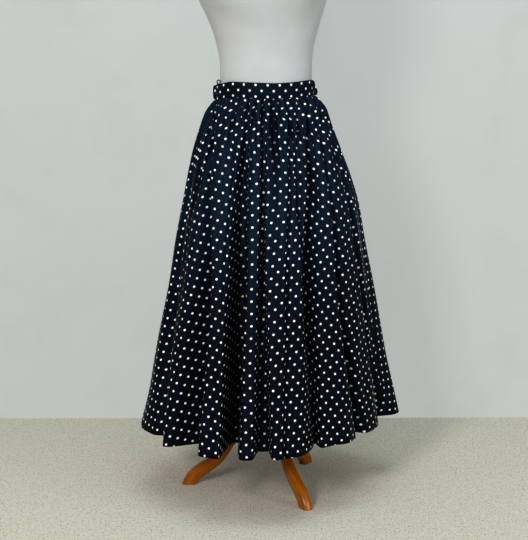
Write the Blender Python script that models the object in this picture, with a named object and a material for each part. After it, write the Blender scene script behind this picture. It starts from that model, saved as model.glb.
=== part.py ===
"""Gathered maxi skirt hanging on a limbless dress form with a three legged wooden stand.

Metres, +Z up, front facing -Y, floor at z = 0. Shapes are written about the stand's axis,
then moved by FRAME_SHIFT so that the origin lies under the middle of the whole piece.
Every piece a maker cuts is one closed solid, 0.3 mm from the piece beside it.
"""
import math

import bmesh
import bpy
import numpy as np

GAP = 0.0003
FRAME_SHIFT = (-0.010, 0.0, 0.0)
CLOTH_WALL = 0.0012
HEM_Z = 0.174
SEAM_Z = 1.0117
SKIRT_DROP = SEAM_Z - HEM_Z
SEAM_AZIMUTH = -85.0
GATHERS_PER_PANEL = 20
TOP_COLUMNS = 120
FLAT_PANEL_WAIST_RADIUS = 0.49
FLAT_PANEL_SWEEP = math.radians(64.0)

BAND_TOP_Z = 1.0500
BAND_BOTTOM_Z = 1.0120
BAND_WALL = 0.0024
BAND_LAP_START = 168.0
BAND_COLUMNS = 88

BUTTON_RADIUS = 0.0080
BUTTON_THICKNESS = 0.0032

LOOP_WIDTH = 0.0090
LOOP_WALL = 0.0012
HANGER_HALF_SPAN = 0.0046
HANGER_HEIGHT = 0.0115
HANGER_TUBE = 0.0009

LEG_AZIMUTHS = {"leg_left": 178.36, "leg_front": 298.36, "leg_back": 58.36}
LEG_WIDTH = 0.025
HUB_APOTHEM = 0.034
HUB_BOTTOM_Z = 0.118
HUB_TOP_Z = 0.214
POLE_RADIUS = 0.0125
FORM_BOTTOM_Z = 0.700
FORM_COLUMNS = 32

# Skirt envelope by share of the drop: half widths left and right, half depths
# front and back, share of the hem fold depth reached, half height of the gathers.
SKIRT_ROWS = [
    # down  left    right   front   back    share  gather
    (0.000, 0.1262, 0.1200, 0.0900, 0.0920, 0.00, 0.0024),
    (0.016, 0.1375, 0.1330, 0.0990, 0.1005, 0.02, 0.0030),
    (0.040, 0.1515, 0.1500, 0.1130, 0.1150, 0.06, 0.0034),
    (0.090, 0.1665, 0.1665, 0.1330, 0.1350, 0.15, 0.0030),
    (0.160, 0.1840, 0.1900, 0.1540, 0.1560, 0.27, 0.0020),
    (0.240, 0.1990, 0.2150, 0.1740, 0.1770, 0.38, 0.0010),
    (0.330, 0.2130, 0.2370, 0.1950, 0.1990, 0.48, 0.0000),
    (0.430, 0.2290, 0.2530, 0.2160, 0.2200, 0.58, 0.0000),
    (0.550, 0.2460, 0.2720, 0.2370, 0.2420, 0.68, 0.0000),
    (0.670, 0.2665, 0.2880, 0.2580, 0.2640, 0.78, 0.0000),
    (0.790, 0.2860, 0.3060, 0.2800, 0.2850, 0.87, 0.0000),
    (0.900, 0.3035, 0.3250, 0.3010, 0.3050, 0.94, 0.0000),
    (1.000, 0.3250, 0.3410, 0.3200, 0.3240, 1.00, 0.0000),
]

# How far the fold crests stand off that envelope at the hem, by azimuth from the front
# (positive towards the right of the photo).
CRESTS = [
    # azimuth offset
    (-180, 0.002), (-150, -0.006), (-128, 0.004), (-108, -0.004), (-80, 0.000), (-64, -0.016),
    (-51, 0.009), (-26, 0.013), (-8, 0.006), (3, 0.001), (15, -0.018), (24, -0.023),
    (44, -0.056), (56, -0.068), (66, -0.062), (76, -0.052), (90, -0.050), (104, 0.018), (128, -0.008),
    (150, 0.006), (168, -0.006),
]

# Folds between the crests: azimuth at the waist and at the hem, half width at the hem
# (degrees), depth at the hem, how far the bottom leans sideways (degrees).
FOLDS = [
    # name            waist hem   half depth  lean
    ("left_flank",     -78, -58,  7.0, 0.058, 1.0),
    ("left_front",     -62, -38,  8.5, 0.080, 0.5),
    ("deep_front",     -24, -15,  4.8, 0.124, -6.0),
    ("centre",          -3, -2.0, 4.6, 0.072, 0.0),
    ("narrow_crease",   15, 8.0,  2.3, 0.036, 0.0),
    ("right_front",     40, 31.8, 8.0, 0.078, 2.0),
    ("right_flank",     62, 65,   6.5, 0.040, 1.0),
    ("right_seam",      86, 94,   8.5, 0.042, 3.0),
    ("back_right_a",   112, 119,  7.5, 0.066, -1.0),
    ("back_right_b",   131, 138,  6.0, 0.044, 1.5),
    ("back_right_c",   152, 157,  7.5, 0.080, 2.0),
    ("back_centre",    176, 178,  6.0, 0.054, -1.5),
    ("back_left_c",    200, 198,  7.0, 0.067, 1.0),
    ("back_left_b",    222, 219,  6.0, 0.048, -1.0),
    ("back_left_a",    244, 238,  7.5, 0.076, -2.0),
    ("left_seam",      265, 259,  6.0, 0.042, 0.0),
]

# The band does not sit level: lift of its edges by azimuth from the front.
BAND_LIFT = [
    # azimuth lift
    (-180, 0.0000), (-120, -0.0060), (-92, -0.0100), (-75, -0.0085), (-60, -0.0030),
    (-42, 0.0024), (-8, 0.0012), (10, 0.0000), (28, 0.0008), (62, 0.0040), (80, 0.0020),
    (100, 0.0000), (140, 0.0010),
]
BAND_INSIDE = (0.1225, 0.1160, 0.0866, 0.0882)

# Dress form sections: height, half width, depth to the front and to the back, how square
# the section is, sideways shift of its middle.
FORM_ROWS = [
    # z      half    front   back    power shift
    (0.700, 0.1340, 0.0900, 0.1020, 2.3, 0.000),
    (0.703, 0.1420, 0.0960, 0.1090, 2.3, 0.000),
    (0.712, 0.1480, 0.1000, 0.1140, 2.3, 0.000),
    (0.760, 0.1540, 0.1040, 0.1210, 2.3, 0.000),
    (0.820, 0.1560, 0.1060, 0.1240, 2.2, 0.000),
    (0.870, 0.1510, 0.1050, 0.1200, 2.2, 0.000),
    (0.930, 0.1380, 0.0990, 0.1080, 2.2, 0.000),
    (0.980, 0.1240, 0.0920, 0.0950, 2.1, 0.000),
    (1.012, 0.1153, 0.0861, 0.0876, 2.0, 0.000),
    (1.050, 0.1142, 0.0852, 0.0862, 2.0, 0.000),
    (1.090, 0.1140, 0.0850, 0.0860, 2.1, 0.000),
    (1.130, 0.1190, 0.0870, 0.0880, 2.1, -0.001),
    (1.170, 0.1290, 0.0930, 0.0920, 2.2, -0.002),
    (1.210, 0.1430, 0.1020, 0.0980, 2.2, -0.004),
    (1.250, 0.1580, 0.1090, 0.1030, 2.2, -0.008),
    (1.290, 0.1680, 0.1120, 0.1060, 2.3, -0.009),
    (1.340, 0.1730, 0.1060, 0.1080, 2.4, -0.009),
    (1.390, 0.1770, 0.0920, 0.1060, 2.4, -0.009),
    (1.425, 0.1760, 0.0790, 0.0990, 2.3, -0.009),
    (1.450, 0.1600, 0.0690, 0.0900, 2.2, -0.009),
    (1.468, 0.1260, 0.0610, 0.0800, 2.1, -0.009),
    (1.482, 0.0850, 0.0560, 0.0680, 2.0, -0.009),
    (1.500, 0.0600, 0.0530, 0.0580, 2.0, -0.009),
    (1.545, 0.0540, 0.0500, 0.0540, 2.0, -0.009),
]
BUST = {"height": 1.272, "azimuth": 33.0, "rise": 0.030, "tall": 0.052, "wide": 21.0}

# Neck cap: radius and height above the neck.
CAP_ROWS = [
    # radius rise
    (0.0530, 0.0000), (0.0560, 0.0030), (0.0560, 0.0100), (0.0520, 0.0160), (0.0380, 0.0210),
    (0.0180, 0.0240),
]

# Leg in its own upright plane: distance from the axis and height of the upper edge,
# then of the lower edge, from the foot in to the hub.
LEG_ROWS = [
    # upper_r upper_z lower_r lower_z
    (0.2220, 0.0000, 0.1835, 0.0000),
    (0.2170, 0.0130, 0.1780, 0.0105),
    (0.2080, 0.0280, 0.1660, 0.0215),
    (0.1950, 0.0425, 0.1470, 0.0345),
    (0.1760, 0.0565, 0.1240, 0.0530),
    (0.1540, 0.0700, 0.1080, 0.0700),
    (0.1330, 0.0860, 0.0970, 0.0870),
    (0.1160, 0.1060, 0.0870, 0.1040),
    (0.0980, 0.1330, 0.0740, 0.1190),
    (0.0760, 0.1600, 0.0580, 0.1290),
    (0.0343, 0.1780, 0.0343, 0.1340),
]

MATERIALS = {
    # name: colour, roughness, metallic
    "navy_dotted_cotton": ((0.006, 0.010, 0.020), 0.80, 0.0),
    "navy_button": ((0.008, 0.012, 0.024), 0.35, 0.0),
    "black_ribbon": ((0.010, 0.011, 0.014), 0.50, 0.0),
    "white_jersey": ((0.620, 0.630, 0.620), 0.75, 0.0),
    "honey_varnished_wood": ((0.330, 0.110, 0.018), 0.32, 0.0),
    "brushed_steel": ((0.480, 0.480, 0.490), 0.35, 1.0),
}


def clear_scene():
    for obj in list(bpy.data.objects):
        bpy.data.objects.remove(obj, do_unlink=True)


def smooth_curve(xs, ys, x):
    """Monotone cubic curve through the points of a table."""
    xs, ys, x = np.asarray(xs, float), np.asarray(ys, float), np.asarray(x, float)
    step = np.diff(xs)
    rate = np.diff(ys) / step
    slope = np.zeros_like(ys)
    slope[0], slope[-1] = rate[0], rate[-1]
    same = rate[:-1] * rate[1:] > 0
    slope[1:-1][same] = 2 * rate[:-1][same] * rate[1:][same] / (rate[:-1][same] + rate[1:][same])
    i = np.clip(np.searchsorted(xs, x) - 1, 0, len(step) - 1)
    t = (x - xs[i]) / step[i]
    return (ys[i] * (1 + 2 * t) * (1 - t) ** 2 + ys[i + 1] * t * t * (3 - 2 * t)
            + step[i] * (slope[i] * t * (1 - t) ** 2 - slope[i + 1] * t * t * (1 - t)))


def around(table, azimuth):
    """Value of a table by azimuth, joined up all round."""
    az = [row[0] for row in table]
    value = [row[1] for row in table]
    turns = [a - 360 for a in az] + az + [a + 360 for a in az]
    wrapped = (np.asarray(azimuth, float) + 180) % 360 - 180
    return smooth_curve(turns, value * 3, wrapped)


def column(table, index, x):
    return smooth_curve([row[0] for row in table], [row[index] for row in table], x)


def skirt_section(down):
    """Closed plan curve of the folded cloth and the azimuth of each of its points."""
    azimuth = np.linspace(SEAM_AZIMUTH, SEAM_AZIMUTH + 360, 3601)
    left, right, front, back, share = (float(column(SKIRT_ROWS, i, down)) for i in range(1, 6))
    depth = np.zeros_like(azimuth)
    bend = np.zeros_like(azimuth)
    for _, waist, hem, half, deep, lean in FOLDS:
        centre = hem + (waist - hem) * (1 - down) ** 2
        away = np.abs((azimuth - centre + 180) % 360 - 180)
        bump = (0.5 + 0.5 * np.cos(math.pi * np.clip(away / (half * (1.25 - 0.25 * down)), 0, 1))) ** 0.9
        depth += deep * share * bump
        bend += lean * share * bump
    angle = np.radians(azimuth + bend)
    x = ((left + right) / 2 + (right - left) / 2 * np.sin(angle)) * np.sin(angle)
    y = -((front + back) / 2 + (front - back) / 2 * np.cos(angle)) * np.cos(angle)
    grow = 1 + (around(CRESTS, azimuth) * down ** 1.4 - depth) / np.hypot(x, y)
    x, y = x * grow, y * grow
    # Even steps along the curve, then rounding of the corners of the folds.
    arc = np.concatenate([[0], np.cumsum(np.hypot(np.diff(x), np.diff(y)))])
    even = np.linspace(0, arc[-1], 1601)[:-1]
    x, y, azimuth = np.interp(even, arc, x), np.interp(even, arc, y), np.interp(even, arc, azimuth)
    for _ in range(26):
        x = (np.roll(x, 1) + 2 * x + np.roll(x, -1)) / 4
        y = (np.roll(y, 1) + 2 * y + np.roll(y, -1)) / 4
    close = [np.append(x, x[0]), np.append(y, y[0]), np.append(azimuth, azimuth[0] + 360)]
    return np.array(close)


def panel_section(down, side, columns):
    """Points of one panel across its width at one height, and their share of the width."""
    x, y, azimuth = skirt_section(down)
    arc = np.concatenate([[0], np.cumsum(np.hypot(np.diff(x), np.diff(y)))])
    seam = np.interp(SEAM_AZIMUTH + 180, azimuth, arc)
    start, end = (0.0, seam) if side == "front" else (seam, arc[-1])
    start, end = start + GAP / 2, end - GAP / 2
    share = np.linspace(0, 1, columns + 1)
    at = start + (end - start) * share
    px, py = np.interp(at, arc, x), np.interp(at, arc, y)
    tx, ty = np.gradient(px), np.gradient(py)
    length = np.hypot(tx, ty)
    phase = GATHERS_PER_PANEL * share + 0.20 * np.sin(4 * math.pi * share) + 0.13 * np.sin(10 * math.pi * share)
    uneven = 1 + 0.25 * np.sin(14 * math.pi * share) * np.sin(6 * math.pi * share)
    wave = float(column(SKIRT_ROWS, 6, down)) * uneven * np.sin(2 * math.pi * phase)
    px, py = px + ty / length * wave, py - tx / length * wave
    lift = around(BAND_LIFT, np.interp(at, arc, azimuth)) * (1 - down) ** 3
    return np.stack([px, py, SEAM_Z - SKIRT_DROP * down + lift], -1)


def material(name):
    colour, roughness, metallic = MATERIALS[name]
    made = bpy.data.materials.get(name) or bpy.data.materials.new(name)
    made.use_nodes = True
    shader = made.node_tree.nodes["Principled BSDF"]
    shader.inputs["Base Color"].default_value = (*colour, 1)
    shader.inputs["Roughness"].default_value = roughness
    shader.inputs["Metallic"].default_value = metallic
    return made


def finish(bm, name, slot):
    bmesh.ops.recalc_face_normals(bm, faces=bm.faces[:])
    bmesh.ops.translate(bm, verts=bm.verts[:], vec=FRAME_SHIFT)
    mesh = bpy.data.meshes.new(name)
    bm.to_mesh(mesh)
    bm.free()
    mesh.materials.append(material(slot))
    obj = bpy.data.objects.new(name, mesh)
    parts.objects.link(obj)
    return obj


def stitch(bm, upper, lower):
    """Faces between two rows of vertices; the upper row may have twice as many steps."""
    ratio = (len(upper) - 1) // (len(lower) - 1)
    for i in range(len(lower) - 1):
        a, b = lower[i], lower[i + 1]
        top = upper[i * ratio:(i + 1) * ratio + 1]
        if ratio == 1:
            bm.faces.new((top[0], a, b, top[1]))
        else:
            bm.faces.new((top[0], a, top[1]))
            bm.faces.new((top[1], a, b))
            bm.faces.new((top[1], b, top[2]))


def skirt_panel(name, side):
    downs = [0.0, 0.018, 0.050, 0.105, 0.185, 0.30, 0.45, 0.63, 0.82, 1.0]
    full = [True] * 5 + [False] * 5
    grid = np.array([panel_section(d, side, TOP_COLUMNS) for d in downs])
    across = np.gradient(grid, axis=1)
    along = np.gradient(grid, axis=0)
    normal = np.cross(along, across)
    normal[0, :, 2] = normal[-1, :, 2] = 0
    normal /= np.linalg.norm(normal, axis=-1, keepdims=True)
    bm = bmesh.new()
    skins = []
    for offset in (CLOTH_WALL / 2, -CLOTH_WALL / 2):
        skin = []
        for points, normals, dense in zip(grid, normal, full):
            step = 1 if dense else 2
            skin.append([bm.verts.new(p + n * offset) for p, n in zip(points[::step], normals[::step])])
        for upper, lower in zip(skin, skin[1:]):
            stitch(bm, upper, lower)
        skins.append(skin)
    outer, inner = skins
    stitch(bm, outer[0], inner[0])
    stitch(bm, outer[-1], inner[-1])
    for end in (0, -1):
        stitch(bm, [row[end] for row in outer], [row[end] for row in inner])
    return finish(bm, name, "navy_dotted_cotton")


def band_point(azimuth, outward, z_share):
    """Point on the waistband: outward from its inside, z_share 0 at the bottom, 1 at the top."""
    left, right, front, back = BAND_INSIDE
    s = math.radians(azimuth)
    a = (left + right) / 2 + (right - left) / 2 * math.sin(s)
    b = (front + back) / 2 + (front - back) / 2 * math.cos(s)
    nx, ny = math.sin(s) / a, -math.cos(s) / b
    size = math.hypot(nx, ny)
    lift = float(around(BAND_LIFT, azimuth))
    z = BAND_BOTTOM_Z + (BAND_TOP_Z - BAND_BOTTOM_Z) * z_share + lift
    return (a * math.sin(s) + nx / size * outward, -b * math.cos(s) + ny / size * outward, z)


def ring_sweep(bm, rings, closed=False):
    """Skin over rings of points, capped at both ends unless closed."""
    made = [[bm.verts.new(p) for p in ring] for ring in rings]
    pairs = list(zip(made, made[1:])) + ([(made[-1], made[0])] if closed else [])
    for a, b in pairs:
        for i in range(len(a)):
            j = (i + 1) % len(a)
            bm.faces.new((a[i], a[j], b[j], b[i]))
    if not closed:
        bm.faces.new(made[0])
        bm.faces.new(made[-1][::-1])
    return made


def waistband():
    """One strip from under the lap at the back, round the front and over the lap."""
    bm = bmesh.new()
    start, end = BAND_LAP_START - 360, 360 - BAND_LAP_START
    rings = []
    for i in range(BAND_COLUMNS + 1):
        az = start + (end - start) * i / BAND_COLUMNS
        rise = min(max((az - (BAND_LAP_START - 22)) / 20, 0), 1)
        out = (BAND_WALL + GAP) * rise * rise * (3 - 2 * rise)
        rings.append([band_point(az, out + w, z) for w, z in
                      ((0, 0), (BAND_WALL, 0), (BAND_WALL, 1), (0, 1))])
    ring_sweep(bm, rings)
    return finish(bm, "waistband", "navy_dotted_cotton")


def lathe(bm, rows, centre, steps, turn=0.0):
    rings = []
    for radius, z in rows:
        rings.append([(centre[0] + radius * math.cos(turn + 2 * math.pi * k / steps),
                       centre[1] + radius * math.sin(turn + 2 * math.pi * k / steps), z)
                      for k in range(steps)])
    ring_sweep(bm, rings)


def back_button():
    """Round button standing on the outer end of the lap, its face to the back."""
    bm = bmesh.new()
    x, y, z = band_point(180, 2 * BAND_WALL + 2 * GAP, 0.5)
    rings = []
    for radius, depth in ((0.9, 0.0), (1.0, 0.18), (1.0, 0.75), (0.86, 1.0), (0.70, 0.80)):
        rings.append([(x + BUTTON_RADIUS * radius * math.cos(2 * math.pi * k / 20),
                       y + BUTTON_THICKNESS * depth,
                       z + BUTTON_RADIUS * radius * math.sin(2 * math.pi * k / 20))
                      for k in range(20)])
    ring_sweep(bm, rings)
    return finish(bm, "back_button", "navy_button")


def belt_loop(name, azimuth, bulge_rows):
    """Ribbon standing off the band between its top and bottom edges."""
    bm = bmesh.new()
    path = [(bulge, z_share) for z_share, bulge in bulge_rows]
    foot = band_point(azimuth, 0, 0)
    tip = band_point(azimuth, 1, 0)
    outward = np.array([tip[0] - foot[0], tip[1] - foot[1], 0])
    sideways = np.array([-outward[1], outward[0], 0])
    base = np.array(band_point(azimuth, BAND_WALL + GAP * 1.5, 0))
    height = BAND_TOP_Z - BAND_BOTTOM_Z
    points = np.array([base + outward * b + np.array([0, 0, height * z]) for b, z in path])
    tangent = np.gradient(points, axis=0)
    tangent /= np.linalg.norm(tangent, axis=1, keepdims=True)
    normal = np.cross(sideways, tangent)
    normal *= np.sign(normal @ outward)[:, None]
    rings = []
    for p, n in zip(points, normal):
        rings.append([p + sideways * s * LOOP_WIDTH / 2 + n * d
                      for s, d in ((-1, 0), (1, 0), (1, LOOP_WALL), (-1, LOOP_WALL))])
    ring_sweep(bm, rings)
    return finish(bm, name, "navy_dotted_cotton")


def hanger_loop():
    """Thin ribbon arch standing on the top edge of the band at the left."""
    bm = bmesh.new()
    azimuth = -73.0
    base = np.array(band_point(azimuth, BAND_WALL / 2, 1.0)) + np.array([0, 0, GAP])
    one, two = band_point(azimuth - 2, 0, 1), band_point(azimuth + 2, 0, 1)
    along = np.array([two[0] - one[0], two[1] - one[1], two[2] - one[2]])
    along /= np.linalg.norm(along)
    rings = []
    for i in range(15):
        t = math.pi * i / 14
        reach = HANGER_HALF_SPAN * math.cos(t)
        rise = HANGER_HEIGHT * math.sin(t) ** 0.8
        centre = base + along * reach + np.array([0, 0, rise])
        lean_x, lean_z = math.cos(t), math.sin(t)
        out = np.cross(along, [0, 0, 1])
        ring = []
        for k in range(6):
            c, s = math.cos(math.pi * k / 3) * HANGER_TUBE, math.sin(math.pi * k / 3) * HANGER_TUBE
            ring.append(centre + along * c * lean_x + np.array([0, 0, c * lean_z]) + out * s)
        rings.append(ring)
    ring_sweep(bm, rings)
    for v in bm.verts:
        v.co.z = max(v.co.z, base[2] + along[2] * ((np.array(v.co) - base) @ along))
    return finish(bm, "hanger_loop", "black_ribbon")


def form_body():
    bm = bmesh.new()
    heights = [row[0] for row in FORM_ROWS]
    extra = [(a + b) / 2 for a, b in zip(heights, heights[1:]) if 0.06 > b - a > 0.033]
    rings = []
    for z in sorted(heights + extra):
        half, front, back, power, shift = (float(column(FORM_ROWS, i, z)) for i in range(1, 6))
        ring = []
        for k in range(FORM_COLUMNS):
            az = 2 * math.pi * k / FORM_COLUMNS
            sx, cx = math.sin(az), math.cos(az)
            deep = front if cx > 0 else back
            x = half * math.copysign(abs(sx) ** (2 / power), sx)
            y = -deep * math.copysign(abs(cx) ** (2 / power), cx)
            swell = 0.0
            for side in (-1, 1):
                off = (math.degrees(math.atan2(sx, cx)) - side * BUST["azimuth"]) / BUST["wide"]
                up = (z - BUST["height"]) / (BUST["tall"] * (1.0 if z < BUST["height"] else 1.7))
                swell += BUST["rise"] * math.exp(-off * off - up * up)
            y -= swell * 0.9
            x += swell * 0.25 * (1 if x > 0 else -1)
            ring.append((x + shift, y, z))
        rings.append(ring)
    ring_sweep(bm, rings)
    return finish(bm, "form_body", "white_jersey")


def neck_cap():
    bm = bmesh.new()
    top, shift = FORM_ROWS[-1][0] + GAP, FORM_ROWS[-1][5]
    lathe(bm, [(r, top + z) for r, z in CAP_ROWS], (shift, -0.002), 28)
    return finish(bm, "neck_cap", "honey_varnished_wood")


def pole():
    bm = bmesh.new()
    rows = [(POLE_RADIUS, HUB_TOP_Z + GAP), (POLE_RADIUS, FORM_BOTTOM_Z - 0.0123),
            (0.030, FORM_BOTTOM_Z - 0.0120), (0.030, FORM_BOTTOM_Z - GAP)]
    lathe(bm, rows, (0, 0), 24)
    return finish(bm, "pole", "brushed_steel")


def hub():
    """Six sided block whose flats meet the legs, with a turned top."""
    bm = bmesh.new()
    corner = HUB_APOTHEM / math.cos(math.pi / 6)
    rows = [(corner * 0.86, HUB_BOTTOM_Z), (corner, HUB_BOTTOM_Z + 0.006), (corner, HUB_TOP_Z - 0.022),
            (corner * 0.90, HUB_TOP_Z - 0.014), (corner * 0.62, HUB_TOP_Z - 0.006), (corner * 0.55, HUB_TOP_Z)]
    lathe(bm, rows, (0, 0), 6, math.radians(LEG_AZIMUTHS["leg_left"] + 30))
    return finish(bm, "hub", "honey_varnished_wood")


def leg(name, azimuth):
    """Bent board with rounded edges, from a flat sole up to a flat of the hub."""
    bm = bmesh.new()
    a = math.radians(azimuth)
    outward, sideways = np.array([math.cos(a), math.sin(a), 0]), np.array([-math.sin(a), math.cos(a), 0])
    rings = []
    for row in LEG_ROWS:
        upper = outward * row[0] + np.array([0, 0, row[1]])
        lower = outward * row[2] + np.array([0, 0, row[3]])
        centre, half = (upper + lower) / 2, (upper - lower) / 2
        ring = []
        for k in range(12):
            t = 2 * math.pi * (k + 0.5) / 12
            c, s = math.cos(t), math.sin(t)
            c, s = math.copysign(abs(c) ** 0.45, c), math.copysign(abs(s) ** 0.45, s)
            ring.append(centre + half * c + sideways * s * LEG_WIDTH / 2)
        rings.append(ring)
    inner = [p + outward * (HUB_APOTHEM + GAP - p @ outward) for p in rings[-1]]
    rings[-1] = inner
    ring_sweep(bm, rings)
    return finish(bm, name, "honey_varnished_wood")


clear_scene()
parts = bpy.data.collections.new("maxi_skirt_on_dress_form")
bpy.context.scene.collection.children.link(parts)

skirt_panel("skirt_front", "front")
skirt_panel("skirt_back", "back")
waistband()
back_button()
belt_loop("belt_loop_left", -88.0,
          # share of the band's height and how far it stands off
          ((0.06, 0.0000), (0.13, 0.0026), (0.27, 0.0040), (0.50, 0.0046), (0.75, 0.0042),
           (0.90, 0.0024), (0.97, 0.0000)))
belt_loop("belt_loop_right", 88.0,
          ((0.08, 0.0000), (0.13, 0.0040), (0.24, 0.0078), (0.40, 0.0090), (0.60, 0.0066),
           (0.80, 0.0026), (0.93, 0.0000)))
hanger_loop()
form_body()
neck_cap()
pole()
hub()
for leg_name, leg_azimuth in LEG_AZIMUTHS.items():
    leg(leg_name, leg_azimuth)
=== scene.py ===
import math

import bmesh
import bpy
import numpy as np
from mathutils import Matrix, Vector


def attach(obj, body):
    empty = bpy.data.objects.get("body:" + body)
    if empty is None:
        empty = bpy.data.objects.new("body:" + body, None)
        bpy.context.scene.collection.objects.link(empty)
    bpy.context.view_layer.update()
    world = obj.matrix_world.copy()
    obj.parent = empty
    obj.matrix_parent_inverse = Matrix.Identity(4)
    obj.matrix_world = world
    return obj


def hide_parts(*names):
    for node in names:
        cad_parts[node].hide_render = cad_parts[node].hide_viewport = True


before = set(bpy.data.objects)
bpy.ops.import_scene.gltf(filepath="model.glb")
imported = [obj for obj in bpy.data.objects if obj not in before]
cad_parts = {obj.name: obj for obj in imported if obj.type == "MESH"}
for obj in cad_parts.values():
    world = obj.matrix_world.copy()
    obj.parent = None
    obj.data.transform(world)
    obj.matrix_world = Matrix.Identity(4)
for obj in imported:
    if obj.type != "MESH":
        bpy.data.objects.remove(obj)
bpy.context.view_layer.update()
print("frame loaded:", sorted(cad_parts))

# the stand's axis lies 10 mm left of the frame's origin
axisX = -0.010


# shader maths

class Wire:
    # one socket; python operators on it add Math nodes
    def __init__(self, bench, socket):
        self.bench, self.socket = bench, socket

    def maths(self, operation, *values):
        return self.bench.node("ShaderNodeMath", {"operation": operation}, dict(enumerate(values)))

    def sine(self):
        return self.maths("SINE", self)

    def fract(self):
        return self.maths("FRACT", self)

    def least(self, other):
        return self.maths("MINIMUM", self, other)

    def __add__(self, other):
        return self.maths("ADD", self, other)

    def __radd__(self, other):
        return self.maths("ADD", other, self)

    def __sub__(self, other):
        return self.maths("SUBTRACT", self, other)

    def __rsub__(self, other):
        return self.maths("SUBTRACT", other, self)

    def __mul__(self, other):
        return self.maths("MULTIPLY", self, other)

    def __rmul__(self, other):
        return self.maths("MULTIPLY", other, self)

    def __truediv__(self, other):
        return self.maths("DIVIDE", self, other)

    def __rtruediv__(self, other):
        return self.maths("DIVIDE", other, self)

    def __pow__(self, other):
        return self.maths("POWER", self, other)


class Bench:
    # a material being made, with its Principled shader
    def __init__(self, name, finish):
        self.material = bpy.data.materials.new(name)
        self.material.use_nodes = True
        self.tree = self.material.node_tree
        self.shader = self.tree.nodes["Principled BSDF"]
        for socket, value in finish.items():
            self.shader.inputs[socket].default_value = value

    def node(self, kind, settings=None, sockets=None, output=0):
        made = self.tree.nodes.new(kind)
        for name, value in (settings or {}).items():
            if name == "stops":
                ramp = made.color_ramp
                while len(ramp.elements) < len(value):
                    ramp.elements.new(0.5)
                for element, (place, colour) in zip(ramp.elements, value):
                    element.position, element.color = place, (*colour, 1)
            else:
                setattr(made, name, value)
        for name, value in (sockets or {}).items():
            self.plug(made.inputs[name], value)
        return Wire(self, made.outputs[output])

    def plug(self, socket, value):
        if isinstance(value, Wire):
            self.tree.links.new(value.socket, socket)
        else:
            socket.default_value = value

    def feed(self, **wires):
        for name, wire in wires.items():
            self.plug(self.shader.inputs[name.replace("_", " ")], wire)

    def parts(self, vector):
        node = self.tree.nodes.new("ShaderNodeSeparateXYZ")
        self.plug(node.inputs[0], vector)
        return [Wire(self, output) for output in node.outputs]

    def place(self, source, name="UVMap"):
        if source == "uv":
            return self.node("ShaderNodeUVMap", {"uv_map": name})
        return self.node("ShaderNodeTexCoord", output=3)      # its Object output

    def noise(self, vector, scale, detail=3.0, rough=0.55):
        # scale is per metre, one number or one for each direction
        scales = scale if isinstance(scale, tuple) else (scale, scale, scale)
        stretched = self.node("ShaderNodeMapping", None, {"Vector": vector, "Scale": scales})
        return self.node("ShaderNodeTexNoise", None,
                         {"Vector": stretched, "Scale": 1.0, "Detail": detail, "Roughness": rough})

    def blend(self, factor, first, second):
        # a Mix node's colour sockets
        return self.node("ShaderNodeMix", {"data_type": "RGBA"},
                         {0: factor, 6: first, 7: second}, output=2)

    def between(self, value, low, high, to=(0.0, 1.0)):
        return self.node("ShaderNodeMapRange", {"interpolation_type": "SMOOTHSTEP"},
                         {0: value, 1: low, 2: high, 3: to[0], 4: to[1]})

    def bump(self, height, distance, strength=1.0):
        return self.node("ShaderNodeBump", None,
                         {"Strength": strength, "Distance": distance, "Height": height})


def rgba(red, green, blue):
    return (red, green, blue, 1.0)


dottedCloth = {
    "dotRadius": 0.00288,
    "dotEdge": 0.00030,
    "dotRagged": 0.0004,
    "dot": rgba(0.82, 0.82, 0.80),
    "dotWorn": rgba(0.70, 0.70, 0.69),
    "navy": rgba(0.0045, 0.0092, 0.0158),
    "navyDeep": rgba(0.0035, 0.0066, 0.0112),
    # painted light on the skirt's navy: a bluer painted sheen towards the top and painted shade towards the
    # hem
    "navyPaintedTopSheen": rgba(0.0070, 0.0175, 0.0325),
    "navyPaintedHemShade": rgba(0.0027, 0.0026, 0.0060),
    "paintedSheenShare": 0.5,
    "paintedShadeShare": 0.8,
    "sheenToShadeFade": (0.66, 1.02),          # from the painted top sheen to the painted hem shade, in metres from the cut's centre
    "shadow": rgba(0.0010, 0.0014, 0.0028),
    "foldShade": 0.95,
    "troughShade": 0.45,
    "sheen": rgba(0.55, 0.70, 1.0),
    "threadPitch": 0.00062,
    "threadDepth": 0.00012,
}


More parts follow.
